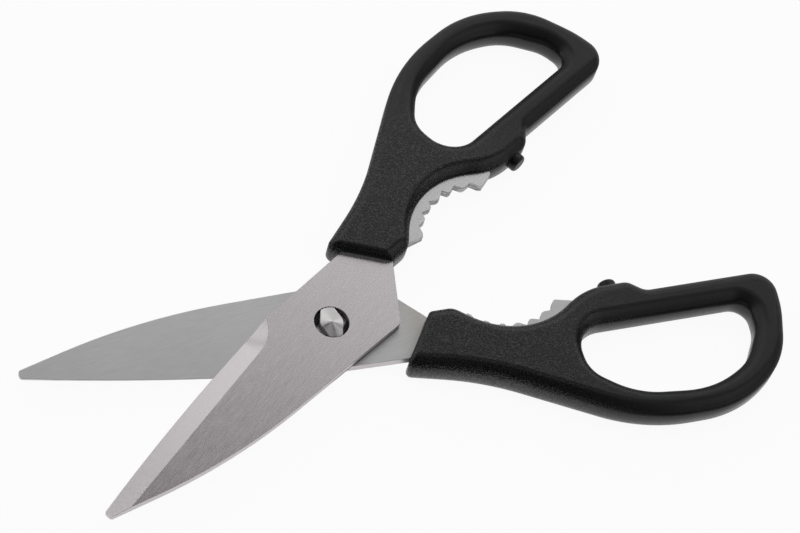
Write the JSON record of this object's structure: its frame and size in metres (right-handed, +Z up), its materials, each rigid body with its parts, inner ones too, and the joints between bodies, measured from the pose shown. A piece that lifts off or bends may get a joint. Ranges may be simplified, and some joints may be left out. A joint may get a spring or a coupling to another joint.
{
  "type": "kitchen shears",
  "caption": "Kitchen shears with wide bevelled steel blades, black moulded loop handles, toothed jaws between the handles and a keyed come-apart pivot.",
  "frame": {"origin": "centre of the footprint on the surface that the shears lie on, as they lie open in the picture", "axes": "+X along the middle line between the halves from the blades to the finger loops, +Y to the front half's handle, +Z up out of the surface"},
  "size_m": [0.1992, 0.1398, 0.0106],
  "materials": {
    "blade_steel": "satin ground stainless steel",
    "handle_plastic": "fine moulded grain",
    "stud_steel": "turned stainless steel",
    "bumper_plastic": "smooth"
  },
  "bodies": {
    "rear_half": {"rear_blade": "blade_steel", "rear_handle": "handle_plastic", "rear_bumper": "bumper_plastic", "pivot_stud": "stud_steel"},
    "front_half": {"front_blade": "blade_steel", "front_handle": "handle_plastic", "front_bumper": "bumper_plastic"}
  },
  "joints": [
    {"name": "blade_pivot", "type": "hinge", "parent": "rear_half", "child": "front_half", "pos_m": [-0.01838, 0, 0.0053], "axis": [0, 0, 1], "range_deg": [-31.4, 58.6]}
  ]
}
